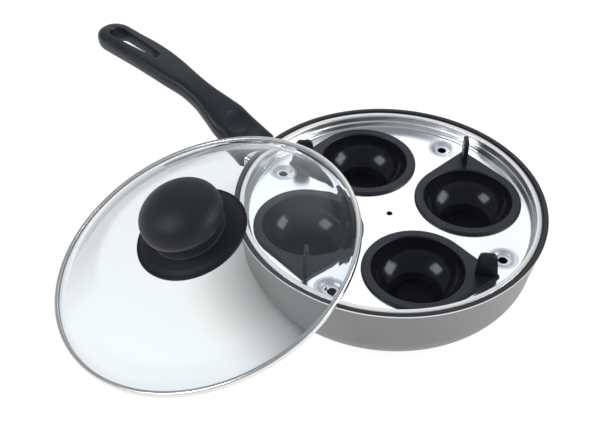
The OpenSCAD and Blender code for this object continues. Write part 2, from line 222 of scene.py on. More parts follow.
def mat_glass(name):
    """Clear glass, a little green where it is looked at edge on, with painted shade on one side of the dome's shoulder.
    """
    m, nt, b = new_mat(name)
    co = obj_coords(nt, LID)
    slow = noise(nt, co, 14.0, 2.0, 0.4)
    sep = node(nt, "ShaderNodeSeparateXYZ")
    nt.links.new(co, sep.inputs[0])
    x, y, z = sep.outputs
    r = math_node(nt, "SQRT", math_node(nt, "ADD", math_node(nt, "MULTIPLY", x, x), math_node(nt, "MULTIPLY", y, y)))
    edge = math_node(nt, "ADD", map_range(nt, r, 0.070, 0.100, 0.0, 1.0), math_node(nt, "MULTIPLY", slow, 0.06))
    clear = ramp(nt, edge, [(0.0, (0.93, 0.972, 0.968)), (0.45, (0.925, 0.965, 0.966)), (0.72, (0.86, 0.91, 0.93)), (1.0, (0.80, 0.85, 0.88))])
    # painted shade: the dome's shoulder is coloured a little darker on the side away from the pan
    side = math_node(nt, "DIVIDE", math_node(nt, "ADD", math_node(nt, "MULTIPLY", x, 0.469), math_node(nt, "MULTIPLY", y, -0.883)), r)
    shoulder = math_node(nt, "MULTIPLY", map_range(nt, r, 0.063, 0.069, 0.0, 1.0), map_range(nt, side, 0.42, 0.9, 0.0, 1.0))
    painted_shade_tint = node(nt, "ShaderNodeMix", data_type="RGBA", blend_type="MULTIPLY")
    nt.links.new(shoulder, painted_shade_tint.inputs[0])
    nt.links.new(clear, painted_shade_tint.inputs[6])
    painted_shade_tint.inputs[7].default_value = (0.77, 0.775, 0.785, 1.0)
    nt.links.new(painted_shade_tint.outputs[2], b.inputs["Base Color"])
    b.inputs["Transmission Weight"].default_value = 1.0
    b.inputs["IOR"].default_value = 1.5
    b.inputs["Roughness"].default_value = 0.0
    bump(nt, b, slow, 0.04, 0.0002)
    return m


M = {
    "paint": mat_paint("pan_paint", (0.190, 0.189, 0.186), (0.242, 0.241, 0.237), 0.47),
    "rim_black": mat_plastic("rim_coat", (0.014, 0.0145, 0.016), (0.022, 0.023, 0.025), 0.42, 1800.0, 0.12, 0.4),
    "pan_inside": mat_plastic("pan_coat", (0.012, 0.012, 0.013), (0.02, 0.02, 0.022), 0.35, 1600.0, 0.15, 0.4),
    "bare": mat_metal("bare_metal", (0.70, 0.695, 0.68), (0.86, 0.855, 0.84), 0.3),
    "base": mat_metal("turned_base", (0.62, 0.62, 0.62), (0.82, 0.82, 0.82), 0.34, 0.06, 0.6, 900.0, 0.4),
    "tray": mat_metal("tray_aluminium", (0.765, 0.777, 0.815), (0.825, 0.837, 0.875), 0.20, 0.03, 0.015, 1100.0, 0.8, 0.0, TRAY_AXIS),
    # the vent dimples get a darker, rougher copy of the tray aluminium: the darker colour is painted shade in the
    # hollows
    "tray_dimple_painted_shade": mat_metal("tray_dimple_painted_shade", (0.72, 0.735, 0.785), (0.79, 0.805, 0.855), 0.40, 0.03, 0.015, 1100.0, 0.8, 0.0, TRAY_AXIS),
    # the tray's upper wall and flange get a warmer, darker, rougher copy of the aluminium: the warm grey is a painted
    # reflection of the studio
    "tray_side_painted_reflection": mat_metal("tray_side_painted_reflection", (0.70, 0.695, 0.68), (0.80, 0.80, 0.795), 0.33, 0.04, 0.04, 1500.0, 0.7, 0.0, TRAY_AXIS),
    "cup_matte": mat_plastic("cup_flange_coat", (0.0055, 0.0064, 0.0086), (0.009, 0.0104, 0.0142), 0.4, 1500.0, 0.2, 0.44),
    "cup_gloss": mat_plastic("cup_bowl_coat", (0.0085, 0.0088, 0.0108), (0.0125, 0.0130, 0.0155), 0.16, 900.0, 0.04, 0.30, 1.45),
    # the cups' flat bottoms get a darker, duller copy of the bowl coat: the darker colour is painted shade at the
    # bottom of the bowl
    "cup_foot_painted_shade": mat_plastic("cup_foot_painted_shade_coat", (0.0045, 0.0047, 0.0060), (0.0075, 0.0078, 0.0095), 0.34, 900.0, 0.05, 0.07, 1.4),
    "steel": mat_metal("lid_steel", (0.70, 0.70, 0.68), (0.86, 0.86, 0.84), 0.22, 0.04, 0.05, 1500.0, 1.2, 0.0, LID),
    "glass": mat_glass("lid_glass_clear"),
    "knob": mat_plastic("knob_plastic", (0.0100, 0.0110, 0.0135), (0.0160, 0.0175, 0.0210), 0.50, 1300.0, 0.24, 0.25),
    # the disc under the knob gets a darker copy of the knob plastic: the darker colour is painted shade under the cap
    "knob_disc": mat_plastic("knob_disc_painted_shade", (0.0034, 0.0038, 0.0048), (0.0062, 0.0068, 0.0084), 0.44, 1300.0, 0.24, 0.24),
    "handle": mat_plastic("handle_plastic", (0.0056, 0.0068, 0.0086), (0.0094, 0.0114, 0.0144), 0.4, 1500.0, 0.2, 0.46),
    "guard": mat_metal("guard_steel", (0.74, 0.74, 0.75), (0.9, 0.9, 0.91), 0.14),
    "bracket": mat_metal("bracket_steel", (0.5, 0.5, 0.51), (0.66, 0.66, 0.67), 0.36),
    "rivet": mat_metal("rivet_metal", (0.66, 0.66, 0.67), (0.82, 0.82, 0.83), 0.3),
    "fastener": mat_metal("fastener_steel", (0.52, 0.52, 0.53), (0.7, 0.7, 0.71), 0.28),
    "brass": mat_metal("insert_brass", (0.58, 0.42, 0.17), (0.74, 0.57, 0.27), 0.3),
    "rubber": mat_plastic("seal_rubber", (0.02, 0.02, 0.02), (0.035, 0.035, 0.035), 0.75, 900.0, 0.3, 0.3),
}


# ------------------------------------------------------------ mesh helpers

def fillet(pts, closed=False, n=5):
    """pts: (x, y) or (x, y, radius). Corners with a radius are rounded."""
    out = []
    k = len(pts)
    for i, p in enumerate(pts):
        r = p[2] if len(p) > 2 else 0.0
        ends = not closed and i in (0, k - 1)
        if r <= 0 or ends:
            out.append((p[0], p[1]))
            continue
        a = Vector(pts[(i - 1) % k][:2])
        b = Vector(p[:2])
        c = Vector(pts[(i + 1) % k][:2])
        u, v = (a - b), (c - b)
        lu, lv = u.length, v.length
        if lu < 1e-9 or lv < 1e-9:
            out.append((p[0], p[1]))
            continue
        u, v = u / lu, v / lv
        cosang = max(-1.0, min(1.0, u.dot(v)))
        ang = math.acos(cosang)
        if ang > rad(178):
            out.append((p[0], p[1]))
            continue
        t = min(r / math.tan(ang / 2), 0.49 * lu, 0.49 * lv)
        rr = t * math.tan(ang / 2)
        centre = b + (u + v).normalized() * (rr / math.sin(ang / 2))
        s, e = b + u * t - centre, b + v * t - centre
        a0 = math.atan2(s.y, s.x)
        a1 = math.atan2(e.y, e.x)
        d = (a1 - a0 + math.pi) % (2 * math.pi) - math.pi
        for j in range(n + 1):
            q = a0 + d * j / n
            out.append((centre.x + rr * math.cos(q), centre.y + rr * math.sin(q)))
    return out


def catmull(pts, per=6):
    """A smooth open curve through the points."""
    out = []
    k = len(pts)
    for i in range(k - 1):
        p0 = Vector(pts[max(i - 1, 0)])
        p1, p2 = Vector(pts[i]), Vector(pts[i + 1])
        p3 = Vector(pts[min(i + 2, k - 1)])
        for j in range(per):
            t = j / per
            out.append(tuple(0.5 * ((2 * p1) + (p2 - p0) * t + (2 * p0 - 5 * p1 + 4 * p2 - p3) * t * t + (3 * p1 - p0 - 3 * p2 + p3) * t ** 3)))
    out.append(tuple(pts[-1]))
    return out


def to_object(name, bm, mats, sharp=32.0, matrix=None):
    bmesh.ops.recalc_face_normals(bm, faces=bm.faces)
    if matrix is not None:
        bm.transform(matrix)
    me = bpy.data.meshes.new(name)
    bm.to_mesh(me)
    bm.free()
    me.polygons.foreach_set("use_smooth", [True] * len(me.polygons))
    me.set_sharp_from_angle(angle=rad(sharp))
    for m in mats:
        me.materials.append(M[m])
    me.update()
    ob = bpy.data.objects.new(name, me)
    bpy.context.scene.collection.objects.link(ob)
    return ob


def ring_verts(bm, r, z, seg, cx=0.0, cy=0.0):
    if r < 1e-6:
        return [bm.verts.new((cx * MM, cy * MM, z * MM))]
    return [bm.verts.new(((cx + r * math.cos(2 * math.pi * k / seg)) * MM,
                          (cy + r * math.sin(2 * math.pi * k / seg)) * MM, z * MM)) for k in range(seg)]


def bridge(bm, a, b, mat=0):
    na, nb = len(a), len(b)
    if na == 1 and nb == 1:
        return
    n = max(na, nb)
    for k in range(n):
        k2 = (k + 1) % n
        if na == 1:
            f = bm.faces.new((a[0], b[k], b[k2]))
        elif nb == 1:
            f = bm.faces.new((a[k], b[0], a[k2]))
        else:
            f = bm.faces.new((a[k], b[k], b[k2], a[k2]))
        f.material_index = mat


def lathe(name, prof, mats, seg=256, closed=False, mat_of=None, sharp=32.0, matrix=None, z0=0.0):
    """Turns a profile of (radius, height) in millimetres round Z."""
    bm = bmesh.new()
    rings = [ring_verts(bm, r, z + z0, seg) for r, z in prof]
    n = len(rings)
    for i in range(n if closed else n - 1):
        j = (i + 1) % n
        mid = ((prof[i][0] + prof[j][0]) / 2, (prof[i][1] + prof[j][1]) / 2)
        bridge(bm, rings[i], rings[j], mat_of(*mid) if mat_of else 0)
    return to_object(name, bm, mats, sharp, matrix)


def seat(ob, body, nodes):
    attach(ob, body)
    if nodes:
        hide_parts(*nodes)
    return ob


# ------------------------------------------------------------------- pan

PAN_R, PAN_H, CORNER, FOOT_R = 100.0, 50.0, 22.0, 94.7
LEDGE_Z = PAN_H - 1.5
TRAY_Z = PAN_H - 9.65
CUP_Z = TRAY_Z + 1.8
SHIFT, TURN, RING = 0.6, 53.0, 54.0


def make_pan():
    co = FOOT_R - CORNER
    ci = CORNER - 3.4
    arc_out = [(co + CORNER * math.cos(rad(a)), CORNER + CORNER * math.sin(rad(a))) for a in [-90 + 90 * i / 24 for i in range(25)]]
    arc_in = [(co + ci * math.cos(rad(a)), 3.2 + ci + ci * math.sin(rad(a))) for a in [-90 * i / 20 for i in range(21)]]
    top = fillet([
        arc_out[-1], (PAN_R - 0.28, PAN_H - 1.75, 0.4), (PAN_R, PAN_H - 1.45, 0.3), (PAN_R, PAN_H, 0.55),
        (PAN_R - 2.9, PAN_H, 0.45), (PAN_R - 2.9, LEDGE_Z, 0.2), (PAN_R - 5.4, LEDGE_Z, 0.4), (PAN_R - 5.9, LEDGE_Z - 1.2, 0.5), arc_in[0]], n=4)
    flat = [(r, 0.0) for r in (0, 18, 36, 52, 62)]
    prof = flat + arc_out[:-1] + top + arc_in[1:] + [(48, 3.2), (24, 3.2), (0, 3.2)]

    def which(r, z):
        if z < 0.02 and r < 64:
            return 3
        if r > 99.4 and PAN_H - 1.72 < z < PAN_H - 0.5:
            return 1
        if z > PAN_H - 1.7 and r < 99.95:
            return 2
        if z < 3.3 and r < co + 0.1 and z > 1:
            return 4
        # inside of the wall
        inner = r < (FOOT_R - 1.5) + (z - CORNER) * 0.17 if z > CORNER else (Vector((r - co, z - CORNER)).length < CORNER - 1.5)
        if z > CORNER and inner:
            return 4
        if z <= CORNER and z > 3.0 and r > co and Vector((r - co, z - CORNER)).length < CORNER - 1.5:
            return 4
        return 0
    ob = lathe("pan_shell", prof, ["paint", "bare", "rim_black", "base", "pan_inside"], 288, False, which)
    return seat(ob, "pan", ["pan_floor", "pan_wall"])


# ------------------------------------------------------------------ tray

def cup_centre(i):
    a = rad(TURN + 90 * i)
    return RING * math.cos(a), RING * math.sin(a) - SHIFT


def vent_centre(i):
    a = rad(TURN - 46 + 90 * i)
    return 79.2 * math.cos(a), 79.2 * math.sin(a) - SHIFT


def make_tray():
    t = 0.9
    z0 = TRAY_Z
    bm = bmesh.new()
    seg_o = 288

    def loops(cx, cy, prof, seg, mat=0):
        """Rings from the top surface's hole edge round to the underside."""
        rs = [ring_verts(bm, r, z0 + z, seg, cx, cy) for r, z in prof]
        for a, b in zip(rs, rs[1:]):
            bridge(bm, a, b, mat)
        return rs[0], rs[-1]

    tops, bots = [], []
    for i in range(4):
        cx, cy = cup_centre(i)
        a, b = loops(cx, cy, fillet([(31.8, 0), (31.0, 0, 0.5), (31.0, -t, 0.15), (31.8, -t)], n=4), 120)
        tops.append(a)
        bots.append(b)
        cx, cy = vent_centre(i)
        a, b = loops(cx, cy, catmull([(9.6, 0), (8.7, -0.02), (7.8, -0.12), (6.9, -0.42), (6.0, -0.92), (5.2, -1.4), (4.4, -1.68), (3.5, -1.75)], 2)
                     + fillet([(3.3, -1.75), (3.0, -1.75, 0.25), (3.0, -1.75 - t, 0.25), (4.4, -1.75 - t)], n=4)
                     + [(5.4, -2.45), (6.3, -2.0), (7.2, -1.45), (8.1, -1.08), (9.0, -0.92), (9.6, -t)], 64, 1)
        tops.append(a)
        bots.append(b)
    a, b = loops(0, -SHIFT, fillet([(2.4, 0), (1.9, 0, 0.2), (1.9, -t, 0.2), (2.4, -t)], n=3), 32)
    tops.append(a)
    bots.append(b)
    fz = LEDGE_Z - z0
    wall_top = catmull([(89.4, 0), (90.2, 0.12), (91.0, 0.7), (91.45, 1.8), (91.6, 3.3), (91.75, 4.1), (92.15, 4.6), (92.45, 5.2), (92.5, 6.6),
                        (92.65, fz - 0.1), (93.0, fz + t - 0.2), (93.6, fz + t)], 4)
    edge = fillet([(94.2, fz + t), (96.2, fz + t, 0.4), (96.2, fz, 0.25), (94.2, fz)], n=4)
    wall_bot = catmull([(93.9, fz), (93.45, fz - 0.3), (93.3, fz - 1.2), (93.2, 5.4), (92.9, 4.5), (92.45, 3.9), (92.3, 3.1), (92.15, 1.3),
                        (91.6, 0.0), (90.6, -0.75), (89.4, -t)], 3)
    prof = wall_top + edge + wall_bot
    rings = [ring_verts(bm, r, z0 + z, seg_o, 0, -SHIFT) for r, z in prof]
    for k, (a, b) in enumerate(zip(rings, rings[1:])):
        bridge(bm, a, b, 2 if prof[k][0] > 91.2 else 0)
    tops.append(rings[0])
    bots.append(rings[-1])
    for group in (tops, bots):
        edges = []
        for loop in group:
            n = len(loop)
            for k in range(n):
                e = bm.edges.get((loop[k], loop[(k + 1) % n])) or bm.edges.new((loop[k], loop[(k + 1) % n]))
                edges.append(e)
        bmesh.ops.triangle_fill(bm, use_beauty=True, use_dissolve=False, edges=edges)
    ob = to_object("tray_sheet", bm, ["tray", "tray_dimple_painted_shade", "tray_side_painted_reflection"], 34.0)
    return seat(ob, "tray", ["tray_floor", "tray_wall"])


# ------------------------------------------------------------------ cups

CUP = dict(m=28.9, r=34.9, l=49.6, tr=2.0, d=23.0, t=1.5)


def teardrop_radius(theta, off):
    """Distance from the cup's centre to the flange's outline, pulled in by off."""
    r, tr = CUP["r"] - off, max(CUP["tr"] - off, 0.15)
    c = CUP["l"] - CUP["tr"]
    b = math.acos((r - tr) / c)
    th = abs((theta + math.pi) % (2 * math.pi) - math.pi)
    if th >= b:
        return r
    # the straight flank is the line x cos b + y sin b = r
    flank = r / math.cos(b - th)
    tip_touch = math.atan2(tr * math.sin(b), c + tr * math.cos(b))
    if th >= tip_touch:
        return flank
    s = c * math.sin(th)
    return c * math.cos(th) + math.sqrt(max(tr * tr - s * s, 0.0))


def theta_list():
    b = math.acos((CUP["r"] - CUP["tr"]) / (CUP["l"] - CUP["tr"]))
    half = [0.0, 0.004, 0.009, 0.014, 0.019, 0.024, 0.029]
    n = 30
    half += [0.033 + (b - 0.033) * (i / n) for i in range(n + 1)]
    n = 70
    half += [b + (math.pi - b) * (i / n) for i in range(1, n + 1)]
    return half + [2 * math.pi - h for h in reversed(half[1:-1])]


def make_cup(i, label):
    m, d, t = CUP["m"], CUP["d"], CUP["t"]
    th = theta_list()
    bm = bmesh.new()
    # (kind, value, height): "r" is a round ring, "o" the outline pulled in, "l" between the mouth and the outline
    bowl_in = catmull([(m - 0.25, -0.9), (m - 0.4, -3.2), (m - 1.25, -7), (m - 2.9, -10.6), (m - 5.4, -14.1), (m - 8.8, -17.3), (m - 12.3, -19.6),
                       (13.7, -21.3), (12.9, -21.7)], 4)
    foot_in = fillet([(12.9, -21.7), (12.2, -21.9, 0.3), (11.8, -d, 0.35), (10.5, -d)], n=3)
    rings = []
    rings.append(("c", 0, -d))
    for r, z in [(5.0, -d), (9.0, -d)] + list(reversed(foot_in))[:-1]:
        rings.append(("r", r, z))
    for r, z in reversed(bowl_in):
        rings.append(("r", r, z))
    rings += [("r", m - 0.05, -0.35), ("r", m + 0.35, -0.02), ("r", m + 0.8, 0.06), ("r", m + 1.3, 0.0)]
    rings += [("l", 0.35, 0.0), ("l", 0.7, 0.0), ("o", 1.5, 0.0), ("o", 1.05, -0.02), ("o", 0.72, -0.10), ("o", 0.52, -0.25), ("o", 0.42, -0.45),
              ("o", 0.12, -1.0), ("o", 0.0, -1.3), ("o", 0.0, -1.6), ("o", 0.06, -1.76), ("o", 0.2, -1.8), ("l", 0.6, -1.8), ("r", m + 2.0, -1.8)]
    bowl_out = catmull([(m + 1.5, -2.1), (m + 1.3, -3.8), (m + 0.3, -7.4), (m - 1.5, -11.2), (m - 4.1, -15.0), (m - 7.7, -18.6), (m - 11.6, -21.2),
                        (14.4, -22.8), (13.4, -23.2)], 4)
    rings += [("r", r, z) for r, z in bowl_out]
    rings += [("r", r, z) for r, z in fillet([(13.3, -23.3), (12.7, -23.6, 0.4), (12.5, -d - t, 0.4), (11.5, -d - t)], n=3)]
    rings += [("r", 6.0, -d - t), ("c", 0, -d - t)]

    def radius(kind, val, a):
        if kind == "r":
            return val
        if kind == "o":
            return teardrop_radius(a, val)
        rim = m + 1.3
        return rim + (teardrop_radius(a, 1.3) - rim) * val
    loops = []
    for kind, val, z in rings:
        if kind == "c":
            loops.append([bm.verts.new((0, 0, z * MM))])
        else:
            loops.append([bm.verts.new((radius(kind, val, a) * math.cos(a) * MM, radius(kind, val, a) * math.sin(a) * MM, z * MM)) for a in th])
    for j in range(len(loops) - 1):
        zmid = (rings[j][2] + rings[j + 1][2]) / 2
        inner = j < 11 + len(bowl_in)
        gloss = inner and zmid < -0.2 and rings[j][0] in "rc" and rings[j + 1][0] in "rc"
        foot = inner and zmid < -19.5
        bridge(bm, loops[j], loops[j + 1], 2 if foot else 1 if gloss else 0)
    # lifting fin, an upright plate with rounded edges
    fin_t = 3.0
    out = fillet([(34.4, -0.8), (34.5, 3.5, 2.0), (35.0, 12.5, 3.0), (36.0, 16.0, 2.2), (38.0, 16.75, 1.5), (44.2, 16.75, 2.0), (46.4, 14.8, 2.2),
                  (48.0, 3.0, 3.0), (48.3, -0.8)], n=4)
    k = len(out)
    cx = sum(p[0] for p in out) / k
    cz = sum(p[1] for p in out) / k
    levels = [(-fin_t / 2, 0.55), (-fin_t / 2 + 0.12, 0.22), (-fin_t / 2 + 0.45, 0.0), (fin_t / 2 - 0.45, 0.0), (fin_t / 2 - 0.12, 0.22), (fin_t / 2, 0.55)]

    def pull(p, o):
        v = Vector((p[0] - cx, p[1] - cz))
        return (p[0] - v.x / max(v.length, 1e-6) * o, p[1] - v.y / max(v.length, 1e-6) * o)
    fl = []
    for y, o in levels:
        fl.append([bm.verts.new((pull(p, o)[0] * MM, y * MM, pull(p, o)[1] * MM)) for p in out])
    for a, b in zip(fl, fl[1:]):
        bridge(bm, a, b, 0)
    bm.faces.new(fl[0])
    bm.faces.new(list(reversed(fl[-1])))
    x, y = cup_centre(i)
    turns = (72, 76, 72, 69)
    mat = Matrix.Translation((x * MM, y * MM, CUP_Z * MM)) @ Matrix.Rotation(rad(TURN + 90 * i + turns[i]), 4, "Z")
    ob = to_object("cup_shell_" + label, bm, ["cup_matte", "cup_gloss", "cup_foot_painted_shade"], 40.0, mat)
    return seat(ob, "cup_%s_body" % label, ["cup_" + label])


# ------------------------------------------------------------------- lid

LR = 101.2


def make_lid():
    h = 2.1
    rim = fillet([(LR - 2.8, h - 0.6, 0.2), (LR - 2.8, h, 0.25), (LR, h, 1.3), (LR, -h, 1.3), (LR - 3.4, -h, 0.25), (LR - 3.4, -h + 0.6, 0.2),
                  (LR - 0.75, -h + 0.6, 0.8), (LR - 0.75, h - 0.6, 0.8)], True, 6)
    ob = lathe("lid_band", rim, ["steel"], 320, True, None, 34.0, LID)
    ob.visible_glossy = False
    seat(ob, "lid", ["lid_rim"])

    g = 3.0
    out = [(0, 22.8), (14, 22.5), (28, 21.65), (40, 20.35), (52, 18.6), (63, 16.4), (72, 14.15), (79.5, 11.75), (85.2, 9.35), (89.4, 6.9), (92.4, 4.5)]
    out = catmull(out, 5) + catmull([(92.4, 4.5), (93.9, 3.0), (95.4, 1.95), (97.2, 1.3)], 4)[1:] + fillet([(97.2, 1.3), (LR - 1.1, 1.3, 0.6), (LR - 1.1, 1.7 - g, 0.6), (95.8, 1.7 - g)], n=4)[1:]
    inn = catmull([(95.8, 1.7 - g), (93.4, 2.0 - g), (91.0, 3.3 - g), (88.0, 5.7 - g), (83.8, 8.2 - g), (78.2, 10.8 - g), (70.8, 13.45 - g), (61.9, 15.9 - g),
                   (51.3, 18.2 - g), (40, 20.15 - g), (28, 21.55 - g), (14, 22.45 - g), (0, 22.8 - g)], 4)
    ob = lathe("lid_dome", out + inn[1:], ["glass"], 320, False, None, 60.0, LID)
    ob.visible_shadow = False
    ob.visible_glossy = False
    seat(ob, "lid", ["lid_glass"])
    dome_ob = ob

    R = 35.9
    base = fillet([(2.8, 24.25), (14, 24.25), (14, 23.0, 0.3), (R - 1.2, 21.65, 0.3), (R - 0.35, 21.75, 0.35), (R, 22.6, 0.6), (R - 0.5, 23.6, 0.5),
                   (R - 1.6, 23.55, 0.5), (R - 2.6, 23.75, 0.8), (30, 24.7, 4.0), (26.5, 25.35, 3.0), (23.5, 25.72, 1.0), (2.8, 25.72)], True, 4)
    ob = lathe("knob_disc", base, ["knob_disc"], 224, True, None, 34.0, LID)
    ob.visible_glossy = False
    seat(ob, "lid", ["knob_base"])

    m, a, b = 40.8, 26.4, 14.95
    dome = []
    for k in range(41):
        q = rad(-16 + (90 + 16) * k / 40)
        # a slightly flattened top, a fuller shoulder
        dome.append((a * math.copysign(abs(math.cos(q)) ** 0.93, math.cos(q)), m + b * math.copysign(abs(math.sin(q)) ** 0.98, math.sin(q))))
    dome[-1] = (0, m + b)
    neck = fillet([(0, 25.82), (22.4, 25.82, 0.3), (23.35, 26.4, 0.6), (23.3, 27.5, 0.7), (21.8, 28.25, 0.6), (20.0, 29.2, 1.2), (19.4, 30.6, 1.5), (20.6, 32.4, 2.5), dome[0]], n=5)
    ob = lathe("knob_cap", neck + dome[1:], ["knob"], 224, False, None, 30.0, LID)
    ob.visible_glossy = False
    seat(ob, "lid", ["knob"])
    return dome_ob


# ---------------------------------------------------------------- handle

ROOT_X, BEND_X, TIP_RUN = 111.0, 242.0, 13.2
STATIONS = [(111, 41.4, 12.5, 19.4), (119, 47.3, 16.7, 17.6), (128, 53.4, 18.9, 15.8), (137, 57, 17.6, 16.2), (147, 61, 16, 13.9),
            (159, 65.6, 14.4, 11.2), (172, 69.8, 13.5, 10.9), (186, 73, 13.3, 12.8), (200, 75.9, 13.3, 13.9), (214, 78, 13.8, 14.1),
            (228, 79.3, 14.5, 13.7), (242, 81, 15.6, 13.3), (255.3, 81.6, 15.6, 12)]
THUMB = Vector((-115.09, 0.0, 80.89))
THUMB_R = 33.0


def station(x):
    """(top height, thickness, half width) at distance x from the pan's axis."""
    s = STATIONS
    i = 0
    while i < len(s) - 2 and x > s[i + 1][0]:
        i += 1
    p = [s[max(0, i - 1)], s[i], s[i + 1], s[min(len(s) - 1, i + 2)]]
    t = (x - p[1][0]) / (p[2][0] - p[1][0])
    out = []
    for k in (1, 2, 3):
        a, b, c, d = (q[k] for q in p)
        out.append(0.5 * ((2 * b) + (c - a) * t + (2 * a - 5 * b + 4 * c - d) * t * t + (3 * b - a - 3 * c + d) * t ** 3))
    return out


def spow(v, p):
    return math.copysign(abs(v) ** p, v)


def handle_section(w, h, line, deep):
    """Half of the squarish section, from the top's middle to the underside's middle: (across, down).
    A parting line runs along the side, line mm below the top and deep mm deep."""
    vc = max(0.05, min(0.97, 1 - 2 * line / h))
    ac = math.degrees(math.asin(vc ** (1 / 0.62)))
    half_w = math.degrees(0.5 / max(6.0, h))
    marks = [(90 + (ac + half_w - 90) * k / 14, 0.0) for k in range(15)]
    marks += [(ac + half_w * 0.45, 0.75), (ac, 1.0), (ac - half_w * 0.45, 0.75)]
    marks += [(ac - half_w + (-90 - ac + half_w) * k / 26, 0.0) for k in range(27)]
    out = []
    for a, g in marks:
        u, v = spow(math.cos(rad(a)), 0.62), spow(math.sin(rad(a)), 0.62)
        y = w * u * (0.93 + 0.07 * v - (0.10 * v * v if v < 0 else 0))
        z = h / 2 - h / 2 * v
        # the groove goes in towards the section's middle
        k = g * deep / max(1e-6, math.hypot(y, z - h / 2))
        out.append((y * (1 - k), z - (z - h / 2) * k))
    out[0] = (0.0, 0.0)
    out[-1] = (0.0, h)
    return out


def make_handle():
    xs = [ROOT_X, ROOT_X + 0.15, ROOT_X + 0.45, ROOT_X + 1.0]
    x = ROOT_X + 1.6
    while x < BEND_X - 0.4:
        xs.append(x)
        x += 0.4 if x < 150 else 1.2
    bm = bmesh.new()
    loops = []

    def add(x, top, h, w, deep):
        line = 2.0 + 3.2 * max(0.0, min(1.0, (150 - x) / 22.0)) ** 1.5
        half = handle_section(w, h, min(line, h * 0.42), deep)
        pts = half + [(-a, b) for a, b in reversed(half[1:-1])]
        vs = []
        for a, dn in pts:
            q = Vector((-x, a, top - dn))
            away = q - THUMB
            if away.length < THUMB_R and dn < h * 0.5:
                q = THUMB + away.normalized() * THUMB_R
            vs.append(bm.verts.new(q * MM))
        loops.append(vs)
    for x in xs:
        top, h, w = station(x)
        e = max(0.0, 1.0 - (x - ROOT_X) / 1.0)
        deep = 0.42 * min(1.0, max(0.0, (x - 119.0) / 6.0))
        add(x, top - 0.4 * e * e, h - 0.8 * e * e, w - 0.5 * e * e, deep)
    t0, h0, w0 = station(BEND_X)
    for k in range(0, 17):
        q = rad(88.0 * k / 16)
        c, s = math.cos(q), math.sin(q)
        add(BEND_X + TIP_RUN * s, t0 - (1 - c) * 3.0, h0 - (1 - c) * 6.0, w0 * (0.2 + 0.8 * c), 0.42 * max(0.0, 1 - k / 9.0))
    for a, b in zip(loops, loops[1:]):
        bridge(bm, a, b)
    bm.faces.new(loops[0])
    bm.faces.new(list(reversed(loops[-1])))
    ob = to_object("handle_grip", bm, ["handle"], 30.0)

    def outline(off, start=None):
        """Pairs of points (x, half width) along the hanging slot, from its narrow end to its wide end."""
        r1, r2 = 2.9 + off, 5.6 + off
        pairs = []
        if start is None:
            pairs += [(204 - r1 * math.cos(rad(a)), max(0.02, r1 * math.sin(rad(a)))) for a in (0, 18, 36, 54, 72, 90)]
            pairs += [(204 + 36 * k / 24, r1 + (r2 - r1) * k / 24) for k in range(1, 24)]
        else:
            pairs += [(start + (240 - start) * k / 12, r1 + (r2 - r1) * (start + (240 - start) * k / 12 - 204) / 36) for k in range(12)]
        pairs += [(240 + r2 * math.sin(rad(a)), max(0.02, r2 * math.cos(rad(a)))) for a in (0, 15, 30, 45, 60, 75, 90)]
        return pairs

    def strip_solid(name, levels):
        """levels: rings of (x, half width, z) from the top down."""
        bm = bmesh.new()
        rows = []
        for lv in levels:
            rows.append(([bm.verts.new((-x * MM, -y * MM, z * MM)) for x, y, z in lv], [bm.verts.new((-x * MM, y * MM, z * MM)) for x, y, z in lv]))
        for (l0, r0), (l1, r1) in zip(rows, rows[1:]):
            bridge(bm, l0 + list(reversed(r0)), l1 + list(reversed(r1)))
        for l, r in (rows[0], rows[-1]):
            for k in range(len(l) - 1):
                bm.faces.new((l[k], l[k + 1], r[k + 1], r[k]))
        return to_object(name, bm, ["handle"], 38.0)

    def ramp_z(x):
        return 76.5 - (x - 200.5) * math.tan(rad(38))
    levels = []
    spec = ((1.7, 3.0), (1.1, 0.5), (0.6, -0.2), (0.2, -0.8), (0.0, -1.6), (0.0, -30.0))
    for i, (off, dz) in enumerate(spec):
        lv = []
        for x, y in outline(off):
            t = station(min(x, BEND_X))[0]
            low = ramp_z(x) + 0.05 * (len(spec) - 1 - i)
            lv.append((x, y, max(t + dz, low) if dz < 0.4 else t + dz))
        levels.append(lv)
    cutters = [strip_solid("cutter_a", levels),
               strip_solid("cutter_b", [[(x, y, z) for x, y in outline(o, 218.0)] for o, z in ((1.6, 71.0), (1.9, 70.9), (2.3, 70.3), (3.3, 67.5), (4.2, 65.0), (5.2, 60.0))])]
    bpy.context.view_layer.update()
    for c in cutters:
        mod = ob.modifiers.new(c.name, "BOOLEAN")
        mod.operation = "DIFFERENCE"
        mod.solver = "EXACT"
        mod.object = c
    bpy.context.view_layer.update()
    dg = bpy.context.evaluated_depsgraph_get()
    me = bpy.data.meshes.new_from_object(ob.evaluated_get(dg))
    ob.modifiers.clear()
    old = ob.data
    ob.data = me
    bpy.data.meshes.remove(old)
    for c in cutters:
        bpy.data.objects.remove(c)
    me.polygons.foreach_set("use_smooth", [True] * len(me.polygons))
    me.set_sharp_from_angle(angle=rad(30.0))
    return seat(ob, "pan", ["handle"])


